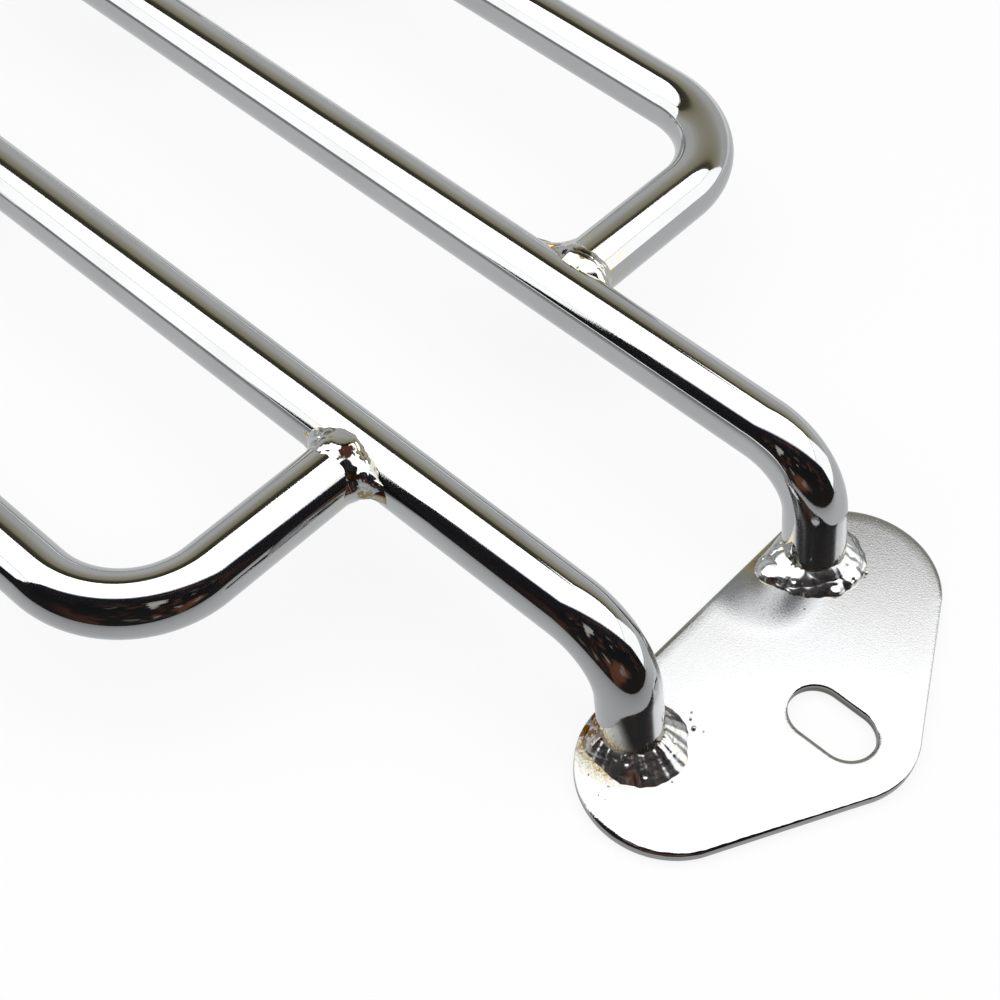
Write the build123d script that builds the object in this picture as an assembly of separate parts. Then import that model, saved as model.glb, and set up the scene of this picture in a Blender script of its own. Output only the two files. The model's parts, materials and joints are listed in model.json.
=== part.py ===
from build123d import *
import os
from math import cos, pi, radians, sin, sqrt, tan

# Motorcycle luggage rack, in millimetres with +Z up.
# Two rails of bent round bar stand on a slotted mounting plate at each end, and a U-shaped loop
# of the same bar is welded to the outer side of each rail.
# The rack stands on the lower faces of its plates. The origin is there, under its middle,
# +X runs along the rails to the rear plate and +Y is the right-hand side.

# Round bar of the rails and loops
BAR_DIAMETER = 12.7

# Rails: the legs are bent down at both ends and lean outwards
RAIL_SPACING = 56.5
RAIL_HEIGHT = 28.7
LEG_SPLAY = 10.3
LEG_BEND_RADIUS = 15.0

# Side loops: sizes are between the centre lines of the bars
LOOP_LENGTH = 145.0
LOOP_REACH = 60.5
LOOP_BEND_RADIUS = 21.0
SADDLE_LIP = 4.0

# Mounting plates: a triangle with round corners, two under the legs and one at the nose
PLATE_THICKNESS = 3.0
PLATE_CORNER_RADIUS = 17.9
PLATE_NOSE_RADIUS = 16.8
PLATE_NOSE_REACH = 16.1
FOOT_SETBACK = 9.3

# Slots for the mounting bolts, one in the nose of each plate
SLOT_SPACING = 334.0
SLOT_WIDTH = 11.4
SLOT_LENGTH = 18.2

# Weld beads, with flat sides: two slanting bands round the end of each arm and a cone round each foot
BEAD_FLATS = 16
ARM_BEAD_CROWN = 1.0
ARM_BEAD_LEG = 3.4
ARM_BEAD_SHIFT = 2.5
ARM_BEAD_START = 2.1
FOOT_BEAD_SIZE = 4.2
FOOT_BEAD_ANGLE = 45.0

BAR_RADIUS = BAR_DIAMETER / 2
RAIL_Y = RAIL_SPACING / 2
NOSE_X = SLOT_SPACING / 2
CORNER_X = NOSE_X - PLATE_NOSE_REACH
FOOT_X = CORNER_X - FOOT_SETBACK
LEAN = tan(radians(LEG_SPLAY))
ELBOW_X = FOOT_X - (RAIL_HEIGHT - PLATE_THICKNESS) * LEAN
GROUND_X = FOOT_X + PLATE_THICKNESS * LEAN
ARM_X = LOOP_LENGTH / 2

SIDES = {"left": -1, "right": 1}
ENDS = {"front": -1, "rear": 1}


def bar_along(path):
    """Round bar whose centre line is the path."""
    start = Plane(origin=path @ 0, z_dir=path % 0)
    return sweep(start * Circle(BAR_RADIUS), path=path)


def rail(side):
    """Rail with a leg at each end, cut off level on the plates' upper faces."""
    y = side * RAIL_Y
    path = FilletPolyline(
        (-GROUND_X, y, 0),
        (-ELBOW_X, y, RAIL_HEIGHT),
        (ELBOW_X, y, RAIL_HEIGHT),
        (GROUND_X, y, 0),
        radius=LEG_BEND_RADIUS,
    )
    foot_level = Plane.XY.offset(PLATE_THICKNESS)
    return split(bar_along(path), bisect_by=foot_level, keep=Keep.TOP)


def side_loop(side):
    """U-shaped loop whose two arms are coped to a saddle that seats on the rail."""
    inner_y = side * (RAIL_Y + SADDLE_LIP)
    outer_y = side * (RAIL_Y + LOOP_REACH)
    path = FilletPolyline(
        (-ARM_X, inner_y, RAIL_HEIGHT),
        (-ARM_X, outer_y, RAIL_HEIGHT),
        (ARM_X, outer_y, RAIL_HEIGHT),
        (ARM_X, inner_y, RAIL_HEIGHT),
        radius=LOOP_BEND_RADIUS,
    )
    return bar_along(path) - rail(side)


def plate_outline():
    """Outline of the rear plate, three round corners joined by their common tangents."""
    discs = [Pos(CORNER_X, side * RAIL_Y) * Circle(PLATE_CORNER_RADIUS) for side in SIDES.values()]
    discs.append(Pos(NOSE_X, 0) * Circle(PLATE_NOSE_RADIUS))
    return make_hull([edge for disc in discs for edge in disc.edges()])


def rear_plate():
    """Plate with the slot for its mounting bolt."""
    slot = Pos(NOSE_X, 0) * SlotOverall(SLOT_LENGTH, SLOT_WIDTH)
    return extrude(plate_outline() - slot, amount=PLATE_THICKNESS)


def mount_plate(end):
    """Plate at either end, the front one a mirror image of the rear one."""
    return rear_plate() if end > 0 else mirror(rear_plate(), about=Plane.YZ)


def bead_section(x_radius, y_radius):
    """Flat-sided oval round the ellipse of these radii, with a side square to each axis."""
    outside = 1 / cos(pi / BEAD_FLATS)
    turns = [2 * pi * (number + 0.5) / BEAD_FLATS for number in range(BEAD_FLATS)]
    return Polygon(*[(x_radius * outside * cos(turn), y_radius * outside * sin(turn)) for turn in turns])


def loop_weld(side, end):
    """Bead round the end of a loop's arm.

    Bars of one size meet along two half ellipses at 45 degrees to the rail. A band lies over each,
    shifted along the arm. It fills the corner beside the arm, with legs of equal length on both bars,
    and stands a crown's height above them on top, where it starts short of the rail's crest.
    """
    crest = Vector(end * ARM_X, side * RAIL_Y, RAIL_HEIGHT)
    tip = crest + Vector(0, side * ARM_BEAD_SHIFT)
    corner_reach = 2 * BAR_RADIUS + ARM_BEAD_LEG
    seam = bead_section((corner_reach - ARM_BEAD_SHIFT) / sqrt(2), BAR_RADIUS + ARM_BEAD_CROWN)
    half_width = (ARM_BEAD_LEG + ARM_BEAD_SHIFT) / sqrt(2)
    bead = Part()
    for way in SIDES.values():
        slant = Plane(origin=tip, x_dir=(way, side, 0), z_dir=(side, -way, 0))
        band = extrude(slant * seam, amount=half_width, both=True)
        bead += split(band, bisect_by=Plane(origin=tip, z_dir=(way, 0, 0)), keep=Keep.TOP)
    rounding = Cylinder(corner_reach - ARM_BEAD_START, 2 * RAIL_HEIGHT)
    bead &= Pos(crest + Vector(0, side * corner_reach)) * rounding
    return bead - rail(side) - side_loop(side)


def leg_weld(side, end):
    """Bead round the foot of a leg, a sloping ring that is trimmed to the plate's outline."""
    toe_radius = BAR_RADIUS + FOOT_BEAD_SIZE
    cone = extrude(bead_section(toe_radius, toe_radius), amount=toe_radius / 2, taper=FOOT_BEAD_ANGLE)
    over_plate = extrude(plate_outline(), amount=RAIL_HEIGHT)
    bead = (Pos(FOOT_X, side * RAIL_Y, PLATE_THICKNESS) * cone & over_plate) - rail(side)
    return bead if end > 0 else mirror(bead, about=Plane.YZ)


def at_both_ends(weld, side):
    """The two like beads of one side."""
    return Compound([weld(side, end) for end in ENDS.values()])


def export_parts():
    """Write each piece of the rack to its own file, with the like beads of a side together."""
    os.makedirs("parts", exist_ok=True)
    pieces = {f"{name}_mount_plate": mount_plate(end) for name, end in ENDS.items()}
    for name, side in SIDES.items():
        pieces[f"{name}_rail"] = rail(side)
        pieces[f"{name}_side_loop"] = side_loop(side)
        pieces[f"{name}_loop_welds"] = at_both_ends(loop_weld, side)
        pieces[f"{name}_leg_welds"] = at_both_ends(leg_weld, side)
    for name, piece in pieces.items():
        export_step(piece, f"parts/{name}.step")


export_parts()
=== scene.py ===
import json
import random
from math import acos, cos, pi, radians, sin, sqrt, tan

import bmesh
import bpy
import numpy as np
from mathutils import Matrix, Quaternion, Vector, noise


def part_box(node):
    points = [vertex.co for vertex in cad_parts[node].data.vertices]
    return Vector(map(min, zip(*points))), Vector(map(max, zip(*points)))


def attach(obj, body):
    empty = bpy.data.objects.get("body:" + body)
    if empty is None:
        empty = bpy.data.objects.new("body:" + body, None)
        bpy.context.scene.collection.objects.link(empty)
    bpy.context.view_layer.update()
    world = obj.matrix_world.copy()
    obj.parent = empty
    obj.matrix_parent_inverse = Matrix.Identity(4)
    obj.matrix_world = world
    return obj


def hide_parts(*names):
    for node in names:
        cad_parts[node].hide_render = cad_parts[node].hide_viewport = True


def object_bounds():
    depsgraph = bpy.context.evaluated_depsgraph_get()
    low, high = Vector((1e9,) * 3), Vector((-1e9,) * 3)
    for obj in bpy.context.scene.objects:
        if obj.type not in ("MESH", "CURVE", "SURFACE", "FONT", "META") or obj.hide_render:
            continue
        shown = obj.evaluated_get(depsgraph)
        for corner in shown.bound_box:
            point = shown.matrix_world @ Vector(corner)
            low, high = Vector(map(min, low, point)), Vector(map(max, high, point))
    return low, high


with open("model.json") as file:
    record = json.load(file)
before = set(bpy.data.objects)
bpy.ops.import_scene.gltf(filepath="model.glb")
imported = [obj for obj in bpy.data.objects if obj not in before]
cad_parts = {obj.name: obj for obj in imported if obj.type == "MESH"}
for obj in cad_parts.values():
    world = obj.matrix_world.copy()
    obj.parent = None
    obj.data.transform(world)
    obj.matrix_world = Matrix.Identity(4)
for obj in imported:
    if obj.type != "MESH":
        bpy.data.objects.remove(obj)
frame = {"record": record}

# Looks of a welded and chromed luggage rack, in metres, in the frame of the CAD model.
# Every bar, plate and weld is a finer mesh that stands for the CAD node of the same place.

MM = 0.001
CAD_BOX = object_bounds()
SIDES = {"left": -1, "right": 1}
ENDS = {"front": -1, "rear": 1}

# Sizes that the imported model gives
RAIL_LOW, RAIL_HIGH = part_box("right_rail")
LOOP_LOW, LOOP_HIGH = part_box("right_side_loop")
PLATE_LOW, PLATE_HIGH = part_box("rear_mount_plate")
FOOT_LOW, FOOT_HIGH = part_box("right_leg_welds")
SLOTS = next(mount["dims"] for mount in frame["record"]["mounts"] if mount["name"] == "mounting_slots")

BAR_RADIUS = (RAIL_HIGH.y - RAIL_LOW.y) / 2
RAIL_Y = (RAIL_HIGH.y + RAIL_LOW.y) / 2
RAIL_HEIGHT = RAIL_HIGH.z - BAR_RADIUS
ARM_X = LOOP_HIGH.x - BAR_RADIUS
LOOP_Y = LOOP_HIGH.y - BAR_RADIUS
SADDLE_LIP = LOOP_LOW.y - RAIL_Y
PLATE_TOP = PLATE_HIGH.z
CORNER_RADIUS = PLATE_HIGH.y - RAIL_Y
CORNER_X = PLATE_LOW.x + CORNER_RADIUS
FOOT_TOE = (FOOT_HIGH.y - FOOT_LOW.y) / 2
FOOT_X = FOOT_HIGH.x - FOOT_TOE
NOSE_X = SLOTS["spacing_x_mm"] / 2 * MM
NOSE_RADIUS = PLATE_HIGH.x - NOSE_X
SLOT_RADIUS = SLOTS["hole_r_mm"] * MM
SLOT_LENGTH = SLOTS["slot_length_mm"] * MM

# Bends of the bars
LEG_SPLAY = radians(10.3)
LEG_BEND_RADIUS = 15.0 * MM
LOOP_BEND_RADIUS = 21.0 * MM
ELBOW_X = FOOT_X - (RAIL_HEIGHT - PLATE_TOP) * tan(LEG_SPLAY)

# Fineness of the meshes
BAR_FACETS = 72
BEND_STEPS = 28
ARC_STEPS = 40
RIM_STEPS = 8

# Stamped edge of the plates: bevelled and rolled over on top, most on one side, less along its run
ROLL_WIDTH = 0.74 * MM
ROLL_DROP = 0.60 * MM
ROLL_BEVEL = 0.6
ROLL_SIDE = Vector((0.641, -0.767))
ROLL_TURN = 2.0
ROLL_RUN = Vector((0.767, 0.641))
ROLL_RUN_START = 88.0 * MM
ROLL_RUN_LENGTH = 40.0 * MM
ROLL_FAR = 0.38
ROLL_SLOT = 0.5
ROLL_WAVE = 0.30
ROLL_WAVE_SIZE = 1.3 * MM
EDGE_STEP = 0.6 * MM

# The sheet sags a little beside its rolled edge, and its lower edge is rounded
SAG_WIDTH = 2.6 * MM
SAG_DROP = 0.06 * MM
SAG_STEPS = 4
LOWER_ROUND = 1.2 * MM

# Camera that matches the photograph
CAMERA_TARGET = Vector((99.3, -19.39, 28.7)) * MM
CAMERA_AZIMUTH = radians(39.87)
CAMERA_ELEVATION = radians(53.0)
CAMERA_ROLL = radians(3.0)
CAMERA_DISTANCE = 352.04 * MM
CAMERA_LENS = 68.34
CAMERA_CLIP = 10.0 * MM
SENSOR_WIDTH = 36.0


# Meshes

def add_piece(name, bm, material, node):
    """Make the mesh a piece of the object that stands for its CAD node."""
    bmesh.ops.recalc_face_normals(bm, faces=bm.faces)
    mesh = bpy.data.meshes.new(name)
    bm.to_mesh(mesh)
    bm.free()
    mesh.materials.append(material)
    piece = bpy.data.objects.new(name, mesh)
    bpy.context.collection.objects.link(piece)
    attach(piece, "root")
    if node:
        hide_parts(node)
    return piece


def bent_path(corners, radius):
    """Points along a polyline with round corners, with the direction at each."""
    stations = [(corners[0], (corners[1] - corners[0]).normalized())]
    for before, corner, after in zip(corners, corners[1:], corners[2:]):
        coming = (corner - before).normalized()
        going = (after - corner).normalized()
        turn = coming.angle(going)
        axis = coming.cross(going).normalized()
        start = corner - coming * radius * tan(turn / 2)
        centre = start + axis.cross(coming) * radius
        for step in range(BEND_STEPS + 1):
            turned = Quaternion(axis, turn * step / BEND_STEPS)
            stations.append((centre + turned @ (start - centre), turned @ coming))
    stations.append((corners[-1], (corners[-1] - corners[-2]).normalized()))
    return stations


def bar_rings(stations, across):
    """Rings of points round a bar that bends square to the across direction."""
    turns = [2 * pi * number / BAR_FACETS for number in range(BAR_FACETS)]
    rings = []
    for point, direction in stations:
        out = direction.cross(across)
        rings.append([point + (across * cos(turn) + out * sin(turn)) * BAR_RADIUS for turn in turns])
    return rings


def strip(bm, below, above, smooth=True):
    """Closed strip of quads between two rings of vertices."""
    faces = []
    for number in range(len(below)):
        beside = (number + 1) % len(below)
        faces.append(bm.faces.new((below[number], below[beside], above[beside], above[number])))
        faces[-1].smooth = smooth
    return faces


def ring_edges(bm, ring):
    """Edges along a closed ring of vertices."""
    return [bm.edges.get(pair) for pair in zip(ring, ring[1:] + ring[:1])]


def bar_mesh(rings, stations):
    """Tube through the rings, with its length and girth as texture coordinates."""
    bm = bmesh.new()
    grain = bm.loops.layers.uv.new("Bar")
    runs = [0.0]
    for (before, _), (after, _) in zip(stations, stations[1:]):
        runs.append(runs[-1] + (after - before).length)
    verts = [[bm.verts.new(point) for point in ring] for ring in rings]
    for row in range(len(verts) - 1):
        for column, face in enumerate(strip(bm, verts[row], verts[row + 1])):
            girths = (column, column + 1, column + 1, column)
            lengths = (row, row, row + 1, row + 1)
            for loop, girth, length in zip(face.loops, girths, lengths):
                loop[grain].uv = (runs[length], 2 * pi * BAR_RADIUS * girth / BAR_FACETS)
    return bm, verts


def add_bar(name, node, rings, stations, close):
    """Bar through the rings, with closed ends that are shaded apart from its side."""
    bm, verts = bar_mesh(rings, stations)
    for ring in (verts[0], verts[-1]):
        close(bm, ring)
        for edge in ring_edges(bm, ring):
            edge.smooth = False
    add_piece(name, bm, CHROMED_BAR, node)


def close_foot(bm, ring):
    """Level face across the foot of a leg."""
    bm.faces.new(ring)


def add_rail(name, side):
    """Rail with a leg at each end, cut off level on the plates."""
    y = side * RAIL_Y
    corners = [
        Vector((-FOOT_X, y, PLATE_TOP)),
        Vector((-ELBOW_X, y, RAIL_HEIGHT)),
        Vector((ELBOW_X, y, RAIL_HEIGHT)),
        Vector((FOOT_X, y, PLATE_TOP)),
    ]
    stations = bent_path(corners, LEG_BEND_RADIUS)
    rings = bar_rings(stations, Vector((0, 1, 0)))
    for number in (0, -1):
        direction = stations[number][1]
        rings[number] = [
            point + direction * ((PLATE_TOP - point.z) / direction.z) for point in rings[number]
        ]
    add_bar(f"{name}_rail_bar", f"{name}_rail", rings, stations, close_foot)


def saddle_reach(height):
    """How far from the rail's axis an arm ends at this height above it."""
    return max(SADDLE_LIP, sqrt(max(BAR_RADIUS**2 - height**2, 0)))


def add_side_loop(name, side):
    """U-shaped loop whose arms end in saddles on the rail."""
    inner_y = side * RAIL_Y
    outer_y = side * LOOP_Y
    corners = [
        Vector((-ARM_X, inner_y, RAIL_HEIGHT)),
        Vector((-ARM_X, outer_y, RAIL_HEIGHT)),
        Vector((ARM_X, outer_y, RAIL_HEIGHT)),
        Vector((ARM_X, inner_y, RAIL_HEIGHT)),
    ]
    stations = bent_path(corners, LOOP_BEND_RADIUS)
    rings = bar_rings(stations, Vector((0, 0, 1)))
    for number in (0, -1):
        for point in rings[number]:
            point.y = side * (RAIL_Y + saddle_reach(point.z - RAIL_HEIGHT))
    add_bar(f"{name}_loop_bar", f"{name}_side_loop", rings, stations, close_saddle)


def close_saddle(bm, ring):
    """Strips across a saddle end. The ring starts at its top."""
    half = BAR_FACETS // 2
    bm.faces.new((ring[0], ring[1], ring[-1]))
    for step in range(1, half - 1):
        bm.faces.new((ring[step], ring[step + 1], ring[-step - 1], ring[-step]))
    bm.faces.new((ring[half - 1], ring[half], ring[half + 1]))


def arc(centre_x, centre_y, radius, start, end):
    """Points of an arc in the plate's plane."""
    angles = [start + (end - start) * step / ARC_STEPS for step in range(ARC_STEPS + 1)]
    return [(centre_x + radius * cos(angle), centre_y + radius * sin(angle)) for angle in angles]


def plate_edge(inset):
    """Outline of the rear plate, drawn in by the inset."""
    reach = NOSE_X - CORNER_X
    span = sqrt(reach**2 + RAIL_Y**2)
    tangent = pi - acos((CORNER_RADIUS - NOSE_RADIUS) / span) - acos(reach / span)
    points = arc(NOSE_X, 0, NOSE_RADIUS - inset, -tangent, tangent)
    points += arc(CORNER_X, RAIL_Y, CORNER_RADIUS - inset, tangent, pi)
    points += arc(CORNER_X, -RAIL_Y, CORNER_RADIUS - inset, pi, 2 * pi - tangent)
    return points


def slot_edge(inset):
    """Outline of the slot, with the same inset seen from the metal."""
    half = SLOT_LENGTH / 2 - SLOT_RADIUS
    points = arc(NOSE_X + half, 0, SLOT_RADIUS + inset, -pi / 2, pi / 2)
    points += arc(NOSE_X - half, 0, SLOT_RADIUS + inset, pi / 2, 3 * pi / 2)
    return points


def rim_profile():
    """Steps of the plate's edge from its lower to its upper face.

    Each has its inset and height, and how far the roll's share of that edge takes part in them.
    """
    turns = [pi / 2 * step / RIM_STEPS for step in range(RIM_STEPS + 1)]
    lower = [(LOWER_ROUND * (1 - sin(turn)), LOWER_ROUND * (1 - cos(turn)), 0.0, 0.0) for turn in turns]
    upper = []
    for turn in turns:
        bevel = turn / (pi / 2)
        inset = ROLL_WIDTH * (ROLL_BEVEL * bevel + (1 - ROLL_BEVEL) * (1 - cos(turn)))
        drop = ROLL_DROP * (ROLL_BEVEL * (1 - bevel) + (1 - ROLL_BEVEL) * (1 - sin(turn)))
        upper.append((0.0, PLATE_TOP - SAG_DROP, inset, drop))
    for step in range(1, SAG_STEPS + 1):
        share = step / SAG_STEPS
        upper.append((SAG_WIDTH * share, PLATE_TOP - SAG_DROP * (1 - share) ** 2, ROLL_WIDTH, 0.0))
    return lower + upper


def edge_line(edge):
    """Points along an outline, each with its direction into the metal."""
    outer = [Vector(point) for point in edge(0.0)]
    inner = [Vector(point) for point in edge(MM)]
    line = []
    for number in range(len(outer)):
        after = (number + 1) % len(outer)
        steps = max(1, round((outer[after] - outer[number]).length / EDGE_STEP))
        for step in range(steps):
            point = outer[number].lerp(outer[after], step / steps)
            inward = inner[number].lerp(inner[after], step / steps) - point
            line.append((point, inward.normalized()))
    return line


def limited(share):
    """The share, kept between 0 and 1."""
    return min(max(share, 0.0), 1.0)


def roll_share(point, inward):
    """How far the plate's outer edge is rolled over here."""
    facing = limited(-ROLL_TURN * inward.dot(ROLL_SIDE))
    run = limited((point.dot(ROLL_RUN) - ROLL_RUN_START) / ROLL_RUN_LENGTH)
    wave = noise.noise(Vector((point.x, point.y, 0)) / ROLL_WAVE_SIZE)
    return (ROLL_FAR + (1 - ROLL_FAR) * facing * (1 - run)) * (1 + ROLL_WAVE * wave * facing)


def rim_rings(bm, end, edge):
    """Rings of vertices up the edge of the plate or its slot."""
    line = edge_line(edge)
    if edge is plate_edge:
        shares = [roll_share(point, inward) for point, inward in line]
    else:
        shares = [ROLL_SLOT] * len(line)
    rings = []
    for inset, height, rolled, drop in rim_profile():
        ring = []
        for (point, inward), share in zip(line, shares):
            place = point + inward * (inset + rolled * share)
            ring.append(bm.verts.new((end * place.x, place.y, height - drop * share)))
        rings.append(ring)
    return rings


def add_plate(name, end):
    """Mounting plate with its bolt slot."""
    bm = bmesh.new()
    borders = {0: [], -1: []}
    for edge in (plate_edge, slot_edge):
        rings = rim_rings(bm, end, edge)
        for below, above in zip(rings, rings[1:]):
            strip(bm, below, above)
        for level in borders:
            borders[level] += ring_edges(bm, rings[level])
    for edges in borders.values():
        bmesh.ops.triangle_fill(bm, use_beauty=True, use_dissolve=False, edges=edges)
    add_piece(f"{name}_plate_sheet", bm, PLATED_SHEET, f"{name}_mount_plate")


# Welds

LOOP_WELD_AROUND = 260
LOOP_WELD_ACROSS = 44
LEG_WELD_AROUND = 280
LEG_WELD_ACROSS = 48
WELD_SINK = 0.25 * MM
TOE_WIDTH = 0.9 * MM
TOE_FADE = 0.6
CEILING_MARGIN = 0.5 * MM

# Seeds of the welds. Each weld is known by its side and its end, as in SIDES and ENDS.
LOOP_WELD_SEEDS = {(-1, -1): 5, (-1, 1): 13, (1, -1): 9, (1, 1): 17}
LEG_WELD_SEEDS = {(-1, -1): 35, (-1, 1): 43, (1, -1): 39, (1, 1): 47}
BUMP_SHIFT = (7.31, 3.17, 5.73)
LOBE_SHIFT = (2.91, 4.43, 1.37)

# Toe lines of the beads on the bars, from the middle of each joint
RAIL_TOE_REACH = 9.75 * MM
RAIL_TOE_TOP = 2.1 * MM
ARM_TOE_TOPS = {(-1, -1): 8.4 * MM, (-1, 1): 9.8 * MM, (1, -1): 8.4 * MM, (1, 1): 8.4 * MM}
ARM_TOE_SIDE = 9.75 * MM
CROWN_REACH = 5.3 * MM
CROWN_RISE = 1.3 * MM

# Waves of the toe lines as shares of their reach, and the sizes of large and fine waves
RAIL_TOP_WAVES = 0.5
RAIL_TOE_WAVES = 0.06
ARM_TOE_WAVES = 0.08
FOOT_TOE_WAVES = 0.08
FOOT_CLIMB_WAVES = 0.25
WAVE_SIZE = 0.45
FINE_WAVE_SIZE = 0.15
FINE_WAVES = 0.4

# Core lines of the beads inside the bars, as shares of the way to the middle between the toes
LOOP_CORE = np.array([0.6, 0.9, 0.6])
FOOT_CORE = np.array([0.55, 0.55, 0.6])

# Fillets beside the arms: how far they run along the bars on the front and on the rear side
LOOP_FILLETS = {
    (-1, -1): (13.5 * MM, 11.0 * MM),
    (-1, 1): (11.0 * MM, 13.2 * MM),
    (1, -1): (11.0 * MM, 14.0 * MM),
    (1, 1): (17.0 * MM, 10.0 * MM),
}
FILLET_SHARPNESS = 6
CORNER_SMOOTHING = 0.8
CORNER_SHARPNESS = 8

# Heights of the lobes, lumps and ripples, and depths of the creases as shares of a lobe
LOOP_LOBES = {(-1, -1): 0.45 * MM, (-1, 1): 0.32 * MM, (1, -1): 0.35 * MM, (1, 1): 0.25 * MM}
FOOT_LOBES = {(-1, -1): 0.36 * MM, (-1, 1): 0.12 * MM, (1, -1): 0.36 * MM, (1, 1): 0.22 * MM}
LOOP_LUMP_SHARE = 0.8
FOOT_LUMPS = 0.23 * MM
LOOP_RIPPLES = 0.02 * MM
FOOT_RIPPLES = 0.008 * MM
LOOP_CREASES = 0.3
FOOT_CREASES = 0.12

# Lobes of the beads are long along the bead, and fine ripples run the same way in patches
LUMP_SIZE = 4.6 * MM
SMALL_LUMP_SIZE = 1.6 * MM
SMALL_LUMPS = 0.16
LOBE_SIZE = 2.9 * MM
LOBE_STRETCH = np.array([0.34, 0.34, 1.0])
LOBE_ROUNDNESS = 1.5
LOBE_DRIFT = 1.3 * MM
LOBE_DRIFT_SIZE = 6.0 * MM
CREASE_WIDTH = 0.09
RIPPLE_SIZE = 0.75 * MM
RIPPLE_COVER = 0.3
RIPPLE_CONTRAST = 1.5
RIPPLE_PATCH_SIZE = 7.0 * MM

# Pits: how many a bead has, and the least and the most of their depth and width
PITS = 7
PIT_DEPTHS = (0.1 * MM, 0.35 * MM)
PIT_WIDTHS = (0.25 * MM, 0.45 * MM)

# Large lumps of the loop welds: place from the middle of the joint, height and width
LOOP_LUMPS = {
    (-1, -1): [((-6.2, 6.0, 3.6), 1.6, 3.2)],
    (-1, 1): [((6.6, 5.4, 3.6), 2.2, 3.0), ((6.1, 7.9, 4.6), 0.8, 0.7), ((-1.0, 6.4, 6.5), 0.5, 2.6)],
    (1, -1): [((3.0, 6.0, 5.5), 0.7, 2.6)],
    (1, 1): [((3.6, 7.0, 5.4), 0.5, 2.4), ((-1.4, 5.0, 6.4), 0.3, 2.2)],
}

# Flat spots of the welds: place from the middle of the joint or foot, normal and half width
LOOP_FLATS = {(-1, 1): [((-0.6, 3.6, 6.75), (-0.16, -0.19, 0.97), 3.0)]}
FOOT_FLATS = {
    (1, 1): [
        ((9.0, 0.5, 1.7), (0.32, 0.0, 0.95), 2.3),
        ((-3.8, -10.1, 1.7), (0.19, -0.23, 0.95), 2.1),
        ((8.4, -4.4, 1.3), (0.2, -0.2, 0.96), 1.1),
    ],
}
FLAT_DEPTH = 1.6 * MM

# Where a foot's bead runs further or less far out: direction in degrees, change and spread
FOOT_RUNS = {
    (-1, -1): [(200, 1.2, 45)],
    (-1, 1): [(-20, 0.8, 60), (-115, -1.4, 45)],
    (1, -1): [(140, 1.0, 60), (20, -0.8, 40)],
    (1, 1): [(-117, 2.4, 19), (-28, -0.8, 25)],
}

# Beads round the feet climb highest on one side, and have a ridge along part of their run
FOOT_CLIMB = 3.6 * MM
FOOT_CLIMB_CHANGE = 0.5 * MM
FOOT_CLIMB_ANGLE = radians(40)
FOOT_BULGE = 0.08 * MM
RIDGE_HEIGHT = 0.02 * MM
RIDGE_WIDTH = 0.08
RIDGE_DRIFT = 0.2
RIDGE_DRIFT_SIZE = 9.0 * MM
RIDGE_PART_SIZE = 8.0 * MM

# Spatter on the plates: place and radius of each ball at the rear, in millimetres
SPATTER = [
    (148.9, -19.1, 0.50),
    (146.4, -16.6, 0.24),
    (150.6, -18.3, 0.20),
    (147.2, -17.9, 0.30),
    (151.6, 32.2, 0.42),
    (152.0, 31.2, 0.25),
    (145.1, -39.2, 0.24),
    (140.9, -39.9, 0.22),
    (144.9, -41.8, 0.17),
    (146.4, -41.7, 0.15),
    (153.0, -30.5, 0.20),
    (137.4, 16.8, 0.22),
    (147.8, 16.9, 0.26),
]

# Spatter at the front: balls by each foot, and the least and the most of their reach and radius
FRONT_BALL_SEED = 71
FRONT_BALL_COUNT = 9
FRONT_BALL_REACHES = (11.2, 15.0)
FRONT_BALL_SQUASH = 0.9
FRONT_BALL_RADII = (0.15, 0.4)

# Balls of spatter are a little lumpy, and part of each is above the plate
BALL_LIFT = 0.35
BALL_LUMPS = 0.25
BALL_LUMP_SIZE = 0.8


def curve_between(start, control, end, steps):
    """Grid of points on quadratic curves, one for each row of the arrays."""
    t = np.linspace(0, 1, steps)[None, :, None]
    return (1 - t) ** 2 * start[:, None] + 2 * t * (1 - t) * control[:, None] + t**2 * end[:, None]


def grid_normals(grid):
    """Unit normals of a grid that closes on itself along its first axis."""
    around = np.roll(grid, -1, axis=0) - np.roll(grid, 1, axis=0)
    across = np.gradient(grid, axis=1)
    normals = np.cross(around, across)
    return normals / np.maximum(np.linalg.norm(normals, axis=2, keepdims=True), 1e-12)


def bumps(points, size, seed):
    """Smooth noise between about -1 and 1, with lumps of the given size."""
    shift = Vector([seed * step for step in BUMP_SHIFT])
    flat = [noise.noise(Vector(point) / size + shift) for point in points.reshape(-1, 3)]
    return np.array(flat).reshape(points.shape[:-1])


def unrolled(grid):
    """The bead's points on a drum, with its length round the drum and its width upwards."""
    columns = grid.shape[1]
    middle = grid[:, columns // 2]
    steps = np.linalg.norm(np.roll(middle, -1, axis=0) - middle, axis=1)
    drum = steps.sum() / (2 * pi)
    turn = (np.cumsum(steps) / drum)[:, None]
    width = np.linalg.norm(np.diff(grid, axis=1), axis=2).sum(axis=1).mean()
    height = np.linspace(0, width, columns)[None, :]
    return np.stack(np.broadcast_arrays(drum * np.cos(turn), drum * np.sin(turn), height), axis=2)


def lobes(points, size, seed, crease):
    """Height of rounded lobes with creases between them, 1 in a lobe's middle."""
    shift = Vector([seed * step for step in LOBE_SHIFT])
    places = [Vector(point) / size + shift for point in points.reshape(-1, 3)]
    apart = np.array([noise.voronoi(place)[0][:2] for place in places])
    creases = crease * np.exp(-(((apart[:, 1] - apart[:, 0]) / CREASE_WIDTH) ** 2))
    return (1 - LOBE_ROUNDNESS * apart[:, 0] ** 2 - creases).reshape(points.shape[:-1])


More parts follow.
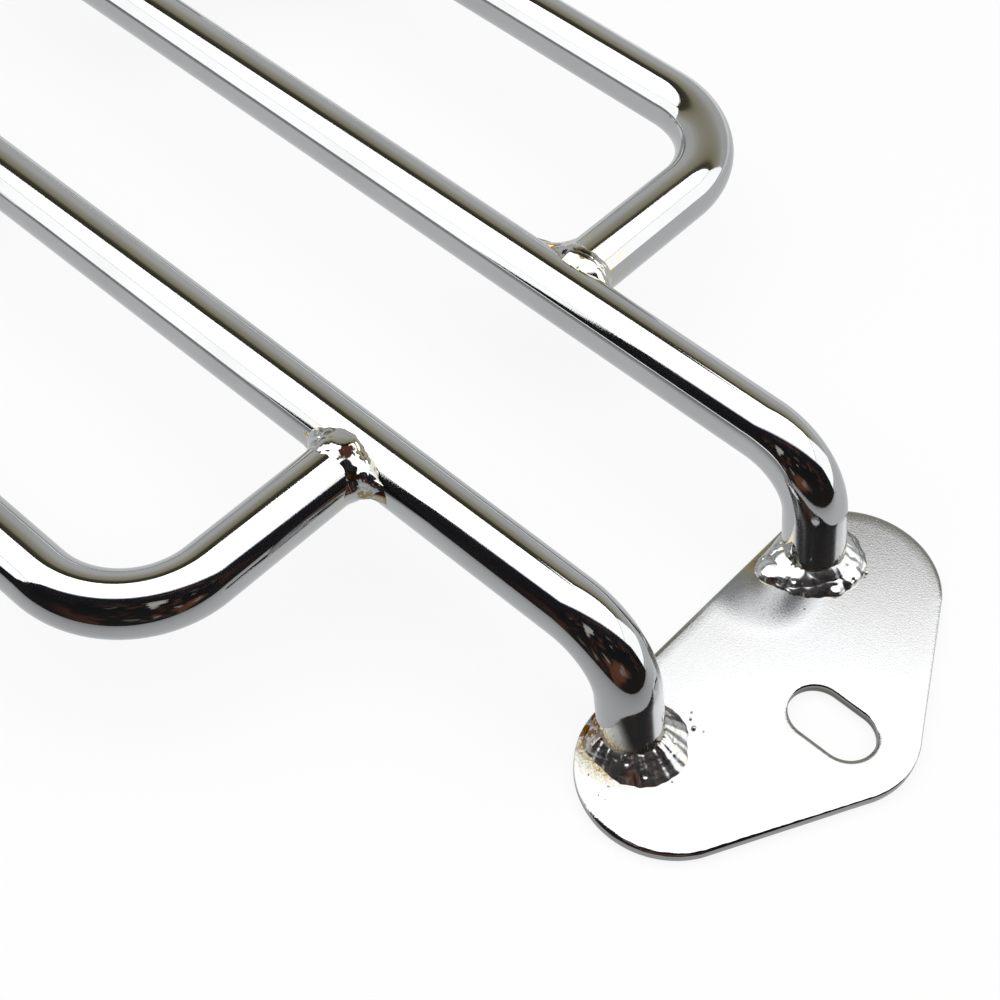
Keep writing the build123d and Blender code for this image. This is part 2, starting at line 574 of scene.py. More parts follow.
def pits(grid, seed):
    """Depth of a few small pits over the bead's grid."""
    draw = random.Random(seed)
    rows, columns = grid.shape[:2]
    depth = np.zeros((rows, columns))
    for _ in range(PITS):
        centre = grid[draw.randrange(rows), draw.randrange(columns // 5, columns)]
        apart = np.linalg.norm(grid - centre, axis=2)
        deepest = draw.uniform(*PIT_DEPTHS)
        width = draw.uniform(*PIT_WIDTHS)
        depth += deepest * np.exp(-((apart / width) ** 2))
    return depth


def weld_relief(grid, seed, lump, lobe, crease, ripple):
    """Height of the bead's lumps, long lobes, ripples and pits over its grid."""
    drum = unrolled(grid)
    drum[:, :, 2] += LOBE_DRIFT * bumps(grid, LOBE_DRIFT_SIZE, seed + 3)
    relief = lump * bumps(grid, LUMP_SIZE, seed)
    relief += SMALL_LUMPS * lump * bumps(grid, SMALL_LUMP_SIZE, seed + 1)
    relief += lobe * lobes(drum * LOBE_STRETCH, LOBE_SIZE, seed + 2, crease)
    patches = np.clip(RIPPLE_COVER + RIPPLE_CONTRAST * bumps(grid, RIPPLE_PATCH_SIZE, seed + 4), 0, 1)
    relief += ripple * patches * np.sin(2 * pi * drum[:, :, 2] / RIPPLE_SIZE)
    return relief - pits(grid, seed)


def flatten(grid, flats):
    """The grid with its flat spots, away from the bead's toes."""
    for place, normal, width in flats:
        normal = np.array(normal) / np.linalg.norm(normal)
        apart = grid - np.array(place) * MM
        height = apart @ normal
        across = np.linalg.norm(apart - height[:, :, None] * normal, axis=2)
        share = np.exp(-((across / (width * MM)) ** 6) - (height / FLAT_DEPTH) ** 4)
        share = share * np.minimum(1, 2 * toe_fade(grid))
        grid = grid - (share * height)[:, :, None] * normal
    return grid


def below_ceiling(heights, ceiling):
    """Heights that bend over before they reach the ceiling, above and below."""
    start = ceiling - CEILING_MARGIN
    over = np.maximum(np.abs(heights) - start, 0)
    bent = start + CEILING_MARGIN * (1 - np.exp(-over / CEILING_MARGIN))
    return np.where(over > 0, np.sign(heights) * bent, heights)


def toe_fade(grid):
    """Share of the relief across the bead, none at its toes."""
    return np.sin(pi * np.linspace(0, 1, grid.shape[1])[None, :]) ** TOE_FADE


def raised(grid, centre, relief, flats):
    """The grid with its relief, away from the centre, and its flat spots."""
    normals = grid_normals(grid)
    facing = np.mean(np.sum((grid - centre) * normals, axis=2))
    away = -1 if facing < 0 else 1
    grid = grid + away * normals * (relief * toe_fade(grid))[:, :, None]
    return flatten(grid, flats)


def bead_mesh(bm, grid, core):
    """Closed ring of quads: the bead's outer grid and a core line inside the bars."""
    toe_layer = bm.verts.layers.float.get("toe") or bm.verts.layers.float.new("toe")
    widths = np.linalg.norm(np.diff(grid, axis=1), axis=2).cumsum(axis=1)
    outer = []
    for row, line in enumerate(grid):
        outer.append([bm.verts.new(point) for point in line])
        for column, vert in enumerate(outer[-1]):
            reach = widths[row][column - 1] if column else 0
            nearest = min(reach, widths[row][-1] - reach)
            vert[toe_layer] = max(0.0, 1 - nearest / TOE_WIDTH)
    inner = [bm.verts.new(point) for point in core]
    lines = list(zip(*outer))
    for below, above in zip(lines, lines[1:]):
        strip(bm, below, above)
    strip(bm, inner, lines[0], smooth=False)
    strip(bm, lines[-1], inner, smooth=False)


def wander(angle, seed, amount):
    """Factors near 1 that make a toe line wavy."""
    ring = np.stack([np.cos(angle), np.sin(angle), np.zeros_like(angle)], axis=1)
    fine = FINE_WAVES * bumps(ring, FINE_WAVE_SIZE, seed + 1)
    return 1 + amount * (bumps(ring, WAVE_SIZE, seed) + fine)


def loop_weld_grid(seed, fillets, arm_toe_top):
    """Bead round an arm's end, from the rail's middle outwards: x along the rail, y along the arm."""
    angle = np.linspace(0, 2 * pi, LOOP_WELD_AROUND, endpoint=False)
    level = np.cos(angle)
    rise = np.sin(angle)
    upright = rise**2
    sunk = BAR_RADIUS - WELD_SINK
    toe_y = RAIL_TOE_TOP * wander(angle, seed, RAIL_TOP_WAVES) + (sunk - RAIL_TOE_TOP) * level**2
    toe_y = np.minimum(toe_y, sunk)
    toe_z = np.sign(rise) * np.sqrt(np.maximum(sunk**2 - toe_y**2, 0))
    tail = (np.where(level < 0, *fillets) - RAIL_TOE_REACH) * level**FILLET_SHARPNESS
    rail_x = (RAIL_TOE_REACH * wander(angle, seed + 2, RAIL_TOE_WAVES) + tail) * level
    rail_toe = np.stack([rail_x, toe_y, toe_z], axis=1)
    arm_y = arm_toe_top + (ARM_TOE_SIDE - arm_toe_top) * level**2
    arm_y = arm_y * wander(angle, seed + 5, ARM_TOE_WAVES) + tail
    arm_toe = np.stack([sunk * level, arm_y, sunk * rise], axis=1)
    crown = np.stack(
        [
            BAR_RADIUS * level,
            BAR_RADIUS * level**2 + CROWN_REACH * upright,
            BAR_RADIUS * rise + CROWN_RISE * np.sign(rise) * upright,
        ],
        axis=1,
    )
    grid = curve_between(rail_toe, crown, arm_toe, LOOP_WELD_ACROSS)
    core = 0.5 * (rail_toe + arm_toe) * LOOP_CORE
    return grid, core


def smooth_corners(grid):
    """Share of the relief round a loop weld, little in the corners beside the arm."""
    angle = np.linspace(0, 2 * pi, grid.shape[0], endpoint=False)
    return 1 - CORNER_SMOOTHING * np.cos(angle)[:, None] ** CORNER_SHARPNESS


def add_loop_welds(name, side):
    """Lumpy beads round the two arm ends of one loop."""
    bm = bmesh.new()
    for end in ENDS.values():
        seed = LOOP_WELD_SEEDS[side, end]
        grid, core = loop_weld_grid(seed, LOOP_FILLETS[side, end], ARM_TOE_TOPS[side, end])
        lobe = LOOP_LOBES[side, end]
        relief = weld_relief(grid, seed, LOOP_LUMP_SHARE * lobe, lobe, LOOP_CREASES, LOOP_RIPPLES)
        relief *= smooth_corners(grid)
        for place, height, width in LOOP_LUMPS[side, end]:
            apart = np.linalg.norm(grid - np.array(place) * MM, axis=2)
            relief += height * MM * np.exp(-((apart / (width * MM)) ** 2))
        grid = raised(grid, np.array([0, BAR_RADIUS, 0]), relief, LOOP_FLATS.get((side, end), []))
        grid[:, :, 2] = below_ceiling(grid[:, :, 2], CAD_BOX[1].z - RAIL_HEIGHT)
        place = np.array([end * ARM_X, side * RAIL_Y, RAIL_HEIGHT])
        flip = np.array([1, side, 1])
        bead_mesh(bm, grid * flip + place, core * flip + place)
    add_piece(f"{name}_loop_beads", bm, WELD_BEAD, f"{name}_loop_welds")


def toe_reach(angle, side, reach):
    """Reach of a foot's bead in this direction, kept on the plate."""
    across = cos(angle)
    outwards = sin(angle) * side
    back = FOOT_X - CORNER_X
    if outwards > 0:
        limit = CORNER_RADIUS - ROLL_WIDTH
        along = back * across
        edge = -along + sqrt(along**2 - back**2 + limit**2)
    elif across < 0:
        edge = (FOOT_X - PLATE_LOW.x - ROLL_WIDTH) / -across
    else:
        edge = reach
    return min(reach, edge)


def foot_reaches(angle, side, end, seed):
    """Reach of a foot's bead in each direction."""
    reach = FOOT_TOE * wander(angle, seed, FOOT_TOE_WAVES)
    for direction, change, spread in FOOT_RUNS[side, end]:
        turn = (np.degrees(angle) - direction + 180) % 360 - 180
        reach = reach + change * MM * np.exp(-((turn / spread) ** 2))
    return np.array([toe_reach(turn, side, limit) for turn, limit in zip(angle, reach)])


def leg_weld_grid(side, end, seed):
    """Bead round a foot, from the middle of the foot: x away from the rack's middle."""
    angle = np.linspace(0, 2 * pi, LEG_WELD_AROUND, endpoint=False)
    across = np.cos(angle)
    along = np.sin(angle)
    flat = np.zeros_like(angle)
    reach = foot_reaches(angle, side, end, seed)
    toe = np.stack([reach * across, reach * along, flat - WELD_SINK], axis=1)
    sunk = BAR_RADIUS - WELD_SINK
    climb = FOOT_CLIMB + FOOT_CLIMB_CHANGE * np.cos(angle - FOOT_CLIMB_ANGLE)
    climb = climb * wander(angle, seed + 2, FOOT_CLIMB_WAVES)
    lean = tan(LEG_SPLAY) * climb
    top = np.stack([sunk / cos(LEG_SPLAY) * across - lean, sunk * along, climb], axis=1)
    middle = 0.5 * (toe + top)
    away = np.stack([across, along, flat + 1], axis=1) / sqrt(2)
    grid = curve_between(toe, middle + away * 2 * FOOT_BULGE, top, LEG_WELD_ACROSS)
    return grid, middle * FOOT_CORE


def foot_ridge(grid, seed):
    """Height of the ridge on parts of a foot's bead."""
    share = np.linspace(0, 1, grid.shape[1])[None, :]
    middle = 0.5 + RIDGE_DRIFT * bumps(grid, RIDGE_DRIFT_SIZE, seed + 6)
    parts = np.clip(0.5 + 2 * bumps(grid, RIDGE_PART_SIZE, seed + 7), 0, 1)
    return RIDGE_HEIGHT * parts * np.exp(-(((share - middle) / RIDGE_WIDTH) ** 2))


def add_leg_welds(name, side):
    """Lumpy beads round the two feet of one rail."""
    bm = bmesh.new()
    for end in ENDS.values():
        seed = LEG_WELD_SEEDS[side, end]
        grid, core = leg_weld_grid(side, end, seed)
        relief = weld_relief(grid, seed, FOOT_LUMPS, FOOT_LOBES[side, end], FOOT_CREASES, FOOT_RIPPLES)
        relief += foot_ridge(grid, seed)
        grid = raised(grid, np.zeros(3), relief, FOOT_FLATS.get((side, end), []))
        grid[:, :, 2] = np.maximum(grid[:, :, 2], -WELD_SINK)
        place = np.array([end * FOOT_X, side * RAIL_Y, PLATE_TOP])
        flip = np.array([end, 1, 1])
        bead_mesh(bm, grid * flip + place, core * flip + place)
    add_piece(f"{name}_leg_beads", bm, WELD_BEAD, f"{name}_leg_welds")


def front_spatter():
    """Places and radii of the balls strewn round the front feet."""
    draw = random.Random(FRONT_BALL_SEED)
    balls = []
    for side in SIDES.values():
        for _ in range(FRONT_BALL_COUNT):
            angle = draw.uniform(-pi / 2, pi / 2)
            reach = draw.uniform(*FRONT_BALL_REACHES)
            x = -(FOOT_X / MM + reach * cos(angle))
            y = side * (RAIL_Y / MM + reach * sin(angle) * FRONT_BALL_SQUASH)
            balls.append((x, y, draw.uniform(*FRONT_BALL_RADII)))
    return balls


def add_spatter():
    """Small balls of weld metal on the plates near the feet."""
    bm = bmesh.new()
    for number, (x, y, radius) in enumerate(SPATTER + front_spatter()):
        radius *= MM
        made = bmesh.ops.create_icosphere(bm, subdivisions=3, radius=radius)
        centre = Vector((x * MM, y * MM, PLATE_TOP + BALL_LIFT * radius))
        for vert in made["verts"]:
            lump = noise.noise(vert.co / (BALL_LUMP_SIZE * radius) + Vector((number, 0, 0)))
            vert.co = centre + vert.co * (1 + BALL_LUMPS * lump)
    for face in bm.faces:
        face.smooth = True
    add_piece("weld_spatter", bm, WELD_BEAD, None)


# Materials

class Shader:
    """Short way to write nodes."""

    def __init__(self, tree):
        self.tree = tree
        self.tree.nodes.clear()
        self.position = self.node("ShaderNodeTexCoord").outputs["Object"]

    def node(self, kind, settings=None, **inputs):
        """Add a node, set its settings, and set or link its inputs by name."""
        made = self.tree.nodes.new(kind)
        for key, value in (settings or {}).items():
            setattr(made, key, value)
        for key, value in inputs.items():
            self.feed(made.inputs[key.replace("_", " ")], value)
        return made

    def feed(self, socket, value):
        """Link a socket, or set the value that it has by itself."""
        if isinstance(value, bpy.types.NodeSocket):
            self.tree.links.new(value, socket)
        else:
            socket.default_value = value

    def part(self, vector, axis):
        """One of the three numbers of a vector."""
        return self.node("ShaderNodeSeparateXYZ", Vector=vector).outputs[axis]

    def corner(self):
        """Position folded on to the right rear quarter, for what all corners have."""
        return self.vectors("ABSOLUTE", self.position).outputs["Vector"]

    def noise(self, scale, detail=3.0, roughness=0.55, vector=None):
        """Noise between 0 and 1 at this many lumps a metre."""
        made = self.node("ShaderNodeTexNoise", Scale=scale, Detail=detail, Roughness=roughness)
        self.feed(made.inputs["Vector"], vector or self.position)
        return made.outputs["Fac"]

    def remap(self, value, low, high, to_low=0.0, to_high=1.0):
        """Value moved from one range to another and kept there."""
        ends = {"From_Min": low, "From_Max": high, "To_Min": to_low, "To_Max": to_high}
        return self.node("ShaderNodeMapRange", Value=value, **ends).outputs["Result"]

    def blend(self, factor, first, second):
        """Colour between two, by the factor."""
        made = self.node("ShaderNodeMix", {"data_type": "RGBA"})
        self.feed(made.inputs[0], factor)
        self.feed(made.inputs[6], first)
        self.feed(made.inputs[7], second)
        return made.outputs[2]

    def math(self, kind, first, second):
        """Sum, product or other result of two values."""
        made = self.node("ShaderNodeMath", {"operation": kind})
        self.feed(made.inputs[0], first)
        self.feed(made.inputs[1], second)
        return made.outputs[0]

    def times(self, first, second):
        """Product of two masks."""
        return self.math("MULTIPLY", first, second)

    def vectors(self, kind, first, second=(0, 0, 0)):
        """Node that works on two vectors."""
        made = self.node("ShaderNodeVectorMath", {"operation": kind})
        self.feed(made.inputs[0], first)
        self.feed(made.inputs[1], second)
        return made

    def bump(self, height, depth, below=None):
        """Normal that follows the height, of this depth in metres."""
        made = self.node("ShaderNodeBump", Height=height, Distance=depth, Strength=1.0)
        if below:
            self.feed(made.inputs["Normal"], below)
        return made.outputs["Normal"]

    def near(self, place, inner, outer, position=None):
        """Mask that is 1 near a place and fades to 0 at the outer radius."""
        distance = self.vectors("DISTANCE", position or self.position, place).outputs["Value"]
        return self.remap(distance, inner, outer, 1.0, 0.0)

    def stain(self, colour, mask, tint, grain, span):
        """Colour with a tint where the mask is, in patches of a noise."""
        patches = self.remap(self.noise(*grain), *span)
        return self.blend(self.times(mask, patches), colour, tint)

    def stained(self, colour, stains):
        """Colour with stains, each at its spot."""
        for spot, stain in stains:
            colour = self.stain(colour, self.near(*spot), *stain)
        return colour

    def mixed(self, share, first, second):
        """Surface or background between two, by the share."""
        made = self.node("ShaderNodeMixShader", Fac=share)
        self.tree.links.new(first.outputs[0], made.inputs[1])
        self.tree.links.new(second.outputs[0], made.inputs[2])
        return made

    def show(self, surface, kind="ShaderNodeOutputMaterial"):
        """Finish with the surface or background that is seen."""
        output = self.node(kind)
        self.tree.links.new(surface.outputs[0], output.inputs["Surface"])

    def metal(self, colour, roughness, normal):
        """Finish the material as bare metal."""
        inputs = {"Base_Color": colour, "Roughness": roughness, "Normal": normal, "Metallic": 1.0}
        self.show(self.node("ShaderNodeBsdfPrincipled", **inputs))


def new_shader(name):
    """New material and the writer of its nodes."""
    material = bpy.data.materials.new(name)
    material.use_nodes = True
    return material, Shader(material.node_tree)


CHROME = (0.515, 0.52, 0.525, 1.0)
CHROME_WORN = (0.47, 0.475, 0.475, 1.0)
SATIN = (0.425, 0.43, 0.437, 1.0)
SATIN_WORN = (0.41, 0.41, 0.412, 1.0)
EDGE_GREY = (0.42, 0.42, 0.425, 1.0)
STRAW = (0.58, 0.50, 0.27, 1.0)
OLIVE = (0.25, 0.21, 0.09, 1.0)
RUST = (0.21, 0.09, 0.008, 1.0)
SOOT = (0.06, 0.055, 0.05, 1.0)
# Painted shade for the inner walls of the slots
SLOT_WALL_SHADE = (0.17, 0.16, 0.145, 1.0)
BROWN = (0.022, 0.010, 0.007, 1.0)
FLUX_WHITE = (0.86, 0.86, 0.83, 1.0)
AMBER = (0.52, 0.41, 0.19, 1.0)

# Noises of the looks: lumps a metre, detail and roughness
BAR_CLOUDS = (45.0, 4.0)
BAR_PATCHES = (90.0, 2.0)
BAR_PEEL = (700.0, 2.0)
BAR_CUTS = (1500.0, 2.0)
BAR_MARKS = (4800.0, 2.0)
SHEET_CLOUDS = (60.0, 4.0)
SHEET_NICKS = (1300.0, 3.0, 0.6)
SHEET_SPECKS = (1700.0, 5.0, 0.75)
SHEET_GRIT = (2600.0, 5.0, 0.75)
SHEET_PEEL = (2600.0, 2.0)
BEAD_GRIT = (1500.0, 3.0, 0.6)

# Depth of the finest relief, and how marks on the bars are drawn out round the bar
BAR_PEEL_DEPTH = 0.0035 * MM
CUT_DEPTH = 0.010 * MM
MARK_DEPTH = 0.005 * MM
SHEET_PEEL_DEPTH = 0.011 * MM
NICK_DEPTH = 0.03 * MM
BEAD_GRIT_DEPTH = 0.008 * MM
CUT_STRETCH = (1.0, 0.07, 1.0)
MARK_STRETCH = (1.0, 0.13, 1.0)

# Ranges of noises: the two ends, and what they turn into if not 0 and 1
CLOUD_RANGE = (0.35, 0.7)
CUT_RANGE = (0.50, 0.72)
MARK_RANGE = (0.40, 0.62, 0.15, 1.0)
CRUST_RANGE = (0.58, 0.66)
SPECK_RANGE = (0.63, 0.68)
SOOT_RANGE = (0.64, 0.72, 0.0, 0.8)
RAG_RANGE = (0.3, 0.7, -0.3, 0.3)
BURNT_RANGE = (0.35, 0.65)
BAR_ROUGHNESS = (0.3, 0.7, 0.025, 0.06)
BEAD_ROUGHNESS = (0.35, 0.7, 0.05, 0.16)

# In the same form, by how level the sheet lies and by the height of a bead
EDGE_RANGE = (0.10, 0.35, 1.0, 0.0)
RIM_RANGE = (0.96, 0.999, 1.0, 0.0)
SATIN_ROUGHNESS = (0.93, 0.995, 0.08, 0.20)
EDGE_POLISH = (0.2, 0.9, 0.6, 1.0)
BEAD_HEAT = (24.0 * MM, 31.0 * MM, 0.2, 1.0)
BEAD_DULLNESS = (12.0 * MM, 24.0 * MM, 0.085, 0.0)

# Strengths of the dust, crust and specks by the feet, and of the tint at the toes of the beads
DUST_COVER = 0.9
DUST_ROUGHNESS = 0.35
CRUST_SPREAD = 0.16
FOOT_DIRTINESS = 0.5
SPECK_SPREAD = 0.10
TOE_TINT = 0.8

# Stains in patches: colour, noise and its range, in the same forms
HEAT_STAIN = (STRAW, (420.0, 4.0, 0.6), (0.48, 0.66, 0.0, 0.6))
FLUX_STAIN = (STRAW, (500.0, 4.0), (0.35, 0.6, 0.1, 0.9))
SMOKE_STAIN = (SOOT, (2400.0, 4.0, 0.7), (0.52, 0.66, 0.0, 0.7))
RUST_STAIN = (RUST, (650.0, 4.0, 0.6), (0.44, 0.53))
STRAW_STAIN = (STRAW, (300.0, 3.0), (0.52, 0.66, 0.0, 0.7))
BURN_STAIN = (OLIVE, (520.0, 4.0, 0.6), (0.36, 0.54))

# Spots at the rear feet and on the left loop: place, and where the mask is full and fades out
RUST_SPOT = (Vector((134.9, -32.0, 4.0)) * MM, 2.0 * MM, 7.0 * MM)
FLUX_SPOT = (Vector((134.0, 19.5, 3.0)) * MM, 2.5 * MM, 7.5 * MM)
DUST_SPOT = (Vector((139.5, -38.5, 3.0)) * MM, 5.0 * MM, 11.0 * MM)
SMOKE_SPOT = (Vector((143.5, 13.5, 3.0)) * MM, 1.0 * MM, 6.0 * MM)
SCRATCH_SPOT = (Vector((72.5, -49.0, 30.0)) * MM, 2.0 * MM, 9.0 * MM)
BEAD_STAINS = [(RUST_SPOT, RUST_STAIN)]
SHEET_STAINS = [(FLUX_SPOT, FLUX_STAIN), (SMOKE_SPOT, SMOKE_STAIN), (RUST_SPOT, RUST_STAIN)]

# Spots that are mirrored to the other corners and to the front slot, in the same form
FOOT_PLACE = (FOOT_X, RAIL_Y, PLATE_TOP)
JOINT_HEAT = ((ARM_X, RAIL_Y + BAR_RADIUS, RAIL_HEIGHT), 7.5 * MM, 11.5 * MM)
FOOT_HEAT = (FOOT_PLACE, 8.0 * MM, 11.0 * MM)
FOOT_CRUST = (FOOT_PLACE, 9.5 * MM, 14.0 * MM)
FOOT_DIRT = (FOOT_PLACE, 10.0 * MM, 14.5 * MM)
SLOT_WALL = ((NOSE_X, 0, PLATE_TOP / 2), 10.0 * MM, 11.0 * MM)

# Burnt spots on the loop welds at the rear: place and reach in millimetres, and colour
BURNT_SPOTS = [
    ((74.4, -34.4, 34.8), 2.3, BROWN),
    ((79.6, -34.9, 29.6), 3.4, OLIVE),
    ((80.6, -34.7, 27.8), 2.2, BROWN),
    ((78.0, -36.4, 33.0), 1.6, AMBER),
    ((72.8, 34.3, 35.2), 2.5, OLIVE),
    ((73.2, 34.3, 35.2), 1.9, SOOT),
    ((68.1, 35.7, 34.2), 1.6, AMBER),
    ((65.3, 33.0, 33.0), 2.0, AMBER),
    ((69.9, 32.4, 34.6), 1.2, BROWN),
]
BURNT_CORE = 0.4


def drawn_out(shader, grain, stretch):
    """Noise of marks across a bar."""
    grain_map = shader.node("ShaderNodeUVMap", {"uv_map": "Bar"}).outputs["UV"]
    across = shader.vectors("MULTIPLY", grain_map, stretch).outputs["Vector"]
    return shader.noise(*grain, vector=across)


def bar_relief(shader):
    """Normal of the bars: peel, scratches on one of them, and polishing marks in patches."""
    normal = shader.bump(shader.noise(*BAR_PEEL), BAR_PEEL_DEPTH)
    cuts = shader.remap(drawn_out(shader, BAR_CUTS, CUT_STRETCH), *CUT_RANGE)
    normal = shader.bump(shader.times(shader.near(*SCRATCH_SPOT), cuts), CUT_DEPTH, normal)
    patches = shader.remap(shader.noise(*BAR_PATCHES), *MARK_RANGE)
    marks = shader.times(drawn_out(shader, BAR_MARKS, MARK_STRETCH), patches)
    return shader.bump(marks, MARK_DEPTH, normal)


def chromed_bar():
    """Bright plating on drawn bar, with polishing marks across the bar and tints by the welds."""
    material, shader = new_shader("chromed_bar_look")
    corner = shader.corner()
    clouds = shader.noise(*BAR_CLOUDS)
    colour = shader.blend(shader.remap(clouds, *CLOUD_RANGE), CHROME, CHROME_WORN)
    heat = shader.math("MAXIMUM", shader.near(*JOINT_HEAT, corner), shader.near(*FOOT_HEAT, corner))
    colour = shader.stain(colour, heat, *HEAT_STAIN)
    shader.metal(colour, shader.remap(clouds, *BAR_ROUGHNESS), bar_relief(shader))
    return material


def dusted(shader, dust, colour):
    """The colour with white dust and yellow crust by one foot, and dark specks round all feet."""
    corner = shader.corner()
    colour = shader.blend(shader.times(dust, DUST_COVER), colour, FLUX_WHITE)
    crust = shader.times(dust, shader.near(*FOOT_CRUST, corner))
    grit = shader.math("ADD", shader.noise(*SHEET_GRIT), shader.times(crust, CRUST_SPREAD))
    yellow = shader.remap(grit, *CRUST_RANGE)
    colour = shader.blend(shader.times(crust, yellow), colour, STRAW)
    dirt = shader.times(shader.near(*FOOT_DIRT, corner), FOOT_DIRTINESS)
    dirt = shader.math("MAXIMUM", dirt, crust)
    specks = shader.math("ADD", shader.noise(*SHEET_SPECKS), shader.times(dirt, SPECK_SPREAD))
    dark = shader.remap(specks, *SPECK_RANGE)
    return shader.blend(shader.times(dirt, dark), colour, OLIVE)


def plated_sheet():
    """Grainy plating on stamped sheet, with tints and speckles where the legs were welded, and painted
    shade on the slots' inner walls.
    """
    material, shader = new_shader("plated_sheet_look")
    dust = shader.near(*DUST_SPOT)
    clouds = shader.remap(shader.noise(*SHEET_CLOUDS), *CLOUD_RANGE)
    colour = shader.blend(clouds, SATIN, SATIN_WORN)
    colour = shader.stained(dusted(shader, dust, colour), SHEET_STAINS)
    normal = shader.node("ShaderNodeNewGeometry").outputs["Normal"]
    level = shader.math("ABSOLUTE", shader.part(normal, "Z"), 0.0)
    edge = shader.remap(level, *EDGE_RANGE)
    colour = shader.blend(edge, colour, EDGE_GREY)
    # The slot's inner wall is painted dark grey-brown: painted shade in the hole.
    slot = shader.near(*SLOT_WALL, shader.corner())
    colour = shader.blend(shader.times(edge, slot), colour, SLOT_WALL_SHADE)
    satin = shader.remap(level, *SATIN_ROUGHNESS)
    satin = shader.math("ADD", satin, shader.times(dust, DUST_ROUGHNESS))
    roughness = shader.times(satin, shader.remap(level, *EDGE_POLISH))
    peel = shader.bump(shader.noise(*SHEET_PEEL), SHEET_PEEL_DEPTH)
    rim = shader.math("SUBTRACT", shader.remap(level, *RIM_RANGE), edge)
    nicks = shader.times(rim, shader.noise(*SHEET_NICKS))
    shader.metal(colour, roughness, shader.bump(nicks, NICK_DEPTH, peel))
    return material


def heated(shader, height):
    """Chrome with straw in clouds and along the beads' toes, and olive burns at the toes."""
    toe = shader.node("ShaderNodeAttribute", {"attribute_name": "toe"}).outputs["Fac"]
    heat = shader.remap(height, *BEAD_HEAT)
    colour = shader.stain(CHROME, heat, *STRAW_STAIN)
    colour = shader.blend(shader.times(toe, shader.times(heat, TOE_TINT)), colour, STRAW)
    return shader.stain(colour, shader.math("POWER", toe, 2.0), *BURN_STAIN)


def burnt(shader, grit, colour):
    """The colour with the burnt spots of the loop welds, ragged at their edges."""
    ragged = shader.remap(grit, *RAG_RANGE)
    for place, reach, tint in BURNT_SPOTS:
        spot = shader.near(Vector(place) * MM, BURNT_CORE * reach * MM, reach * MM)
        share = shader.remap(shader.math("ADD", spot, ragged), *BURNT_RANGE)
        colour = shader.blend(share, colour, tint)
    return colour


def weld_bead():
    """Plated weld metal: bright lumps, straw and olive tints along its toes, and soot in spots."""
    material, shader = new_shader("weld_bead_look")
    height = shader.part(shader.position, "Z")
    grit = shader.noise(*BEAD_GRIT)
    colour = heated(shader, height)
    colour = shader.blend(shader.remap(grit, *SOOT_RANGE), colour, SOOT)
    colour = shader.stained(burnt(shader, grit, colour), BEAD_STAINS)
    dull = shader.remap(height, *BEAD_DULLNESS)
    roughness = shader.math("ADD", shader.remap(grit, *BEAD_ROUGHNESS), dull)
    shader.metal(colour, roughness, shader.bump(grit, BEAD_GRIT_DEPTH))
    return material


# Studio: the soft light and the cards stand square to the camera's view, as seen from above

def studio_point(away, right, height):
    """Point of the studio, measured away from the camera and to its right."""
    away_x = -sin(CAMERA_AZIMUTH)
    away_y = cos(CAMERA_AZIMUTH)
    return Vector((away * away_x + right * away_y, away * away_y - right * away_x, height))


SOFTBOX_HEIGHT = 0.80
SOFTBOX_FAR = 0.49
SOFTBOX_NEAR = -0.75
SOFTBOX_HALF_WIDTH = 1.13
SOFTBOX_RADIANCE = 1.95
WALL_SIDE = 1.20
AMBIENT = 0.12
WHITE = (1.0, 1.0, 1.0, 1.0)

# Floor, which glows white to the eye by this share
FLOOR_SIZE = 30.0
FLOOR_LEVEL = -0.1 * MM
FLOOR_GLOW = 0.85
FLOOR_PAPER = (0.8, 0.8, 0.8, 1.0)

# Dark card before the camera, with a low tail to the left, and warm and pale patches in its middle
DARK_AWAY = -0.20
DARK_LEFT = -0.27
DARK_RIGHT = 0.75
DARK_HEIGHT = 0.38
DARK_TAIL = -0.44
DARK_TAIL_HEIGHTS = (0.02, 0.15)
SOOT_BLACK = (0.015, 0.015, 0.018, 1.0)
WARM_SPOT = (studio_point(DARK_AWAY, 0.10, 0.10), 0.04, 0.22)
WARM_STAIN = ((0.12, 0.045, 0.025, 1.0), (14.0, 3.0), (0.53, 0.63, 0.0, 0.8))
PALE_SPOT = (studio_point(DARK_AWAY, 0.06, 0.10), 0.03, 0.10)
PALE_STAIN = ((0.28, 0.27, 0.25, 1.0), (22.0, 2.0), (0.58, 0.64))
DARK_STAINS = [(WARM_SPOT, WARM_STAIN), (PALE_SPOT, PALE_STAIN)]

# Dark flag just under the soft light, and a grey card on the floor with its glow from near to far,
# which is painted shade of the floor near the rack
FLAG_NEAR = 0.38
FLAG_RIGHT = 0.14
FLAG_GAP = 5.0 * MM
FLAG_OLIVE = (0.055, 0.052, 0.035, 1.0)
GREY_NEAR = -0.20
GREY_FAR = 0.12
GREY_LEFT = -0.45
GREY_LEVEL = -0.05 * MM
GREY_GLOW = (GREY_NEAR, -0.09, 0.35, 0.76)
COOL_WHITE = (0.98, 0.99, 1.0, 1.0)

# Glow of the standing cards upwards: share of the height and colour
FAR_GLOW = [
    (0.0, (0.62, 0.63, 0.66)),
    (0.30, (0.62, 0.62, 0.60)),
    (0.50, (0.46, 0.44, 0.36)),
    (0.72, (0.33, 0.30, 0.20)),
    (0.84, (0.09, 0.085, 0.05)),
    (1.0, (0.06, 0.055, 0.035)),
]
SIDE_GLOW = [(0.0, (0.30, 0.30, 0.31)), (0.05, (0.30, 0.31, 0.32)), (0.10, (1.0, 1.0, 1.0))]
DARK_GLOW = [
    (0.0, (0.012, 0.010, 0.009)),
    (0.3, (0.006, 0.006, 0.007)),
    (0.80, (0.010, 0.010, 0.013)),
    (0.88, (0.60, 0.61, 0.64)),
    (1.0, (0.95, 0.95, 0.96)),
]


def level_corners(near, far, left, right, height):
    """Corners of a level card."""
    corners = [(near, left), (near, right), (far, right), (far, left)]
    return [studio_point(away, across, height) for away, across in corners]


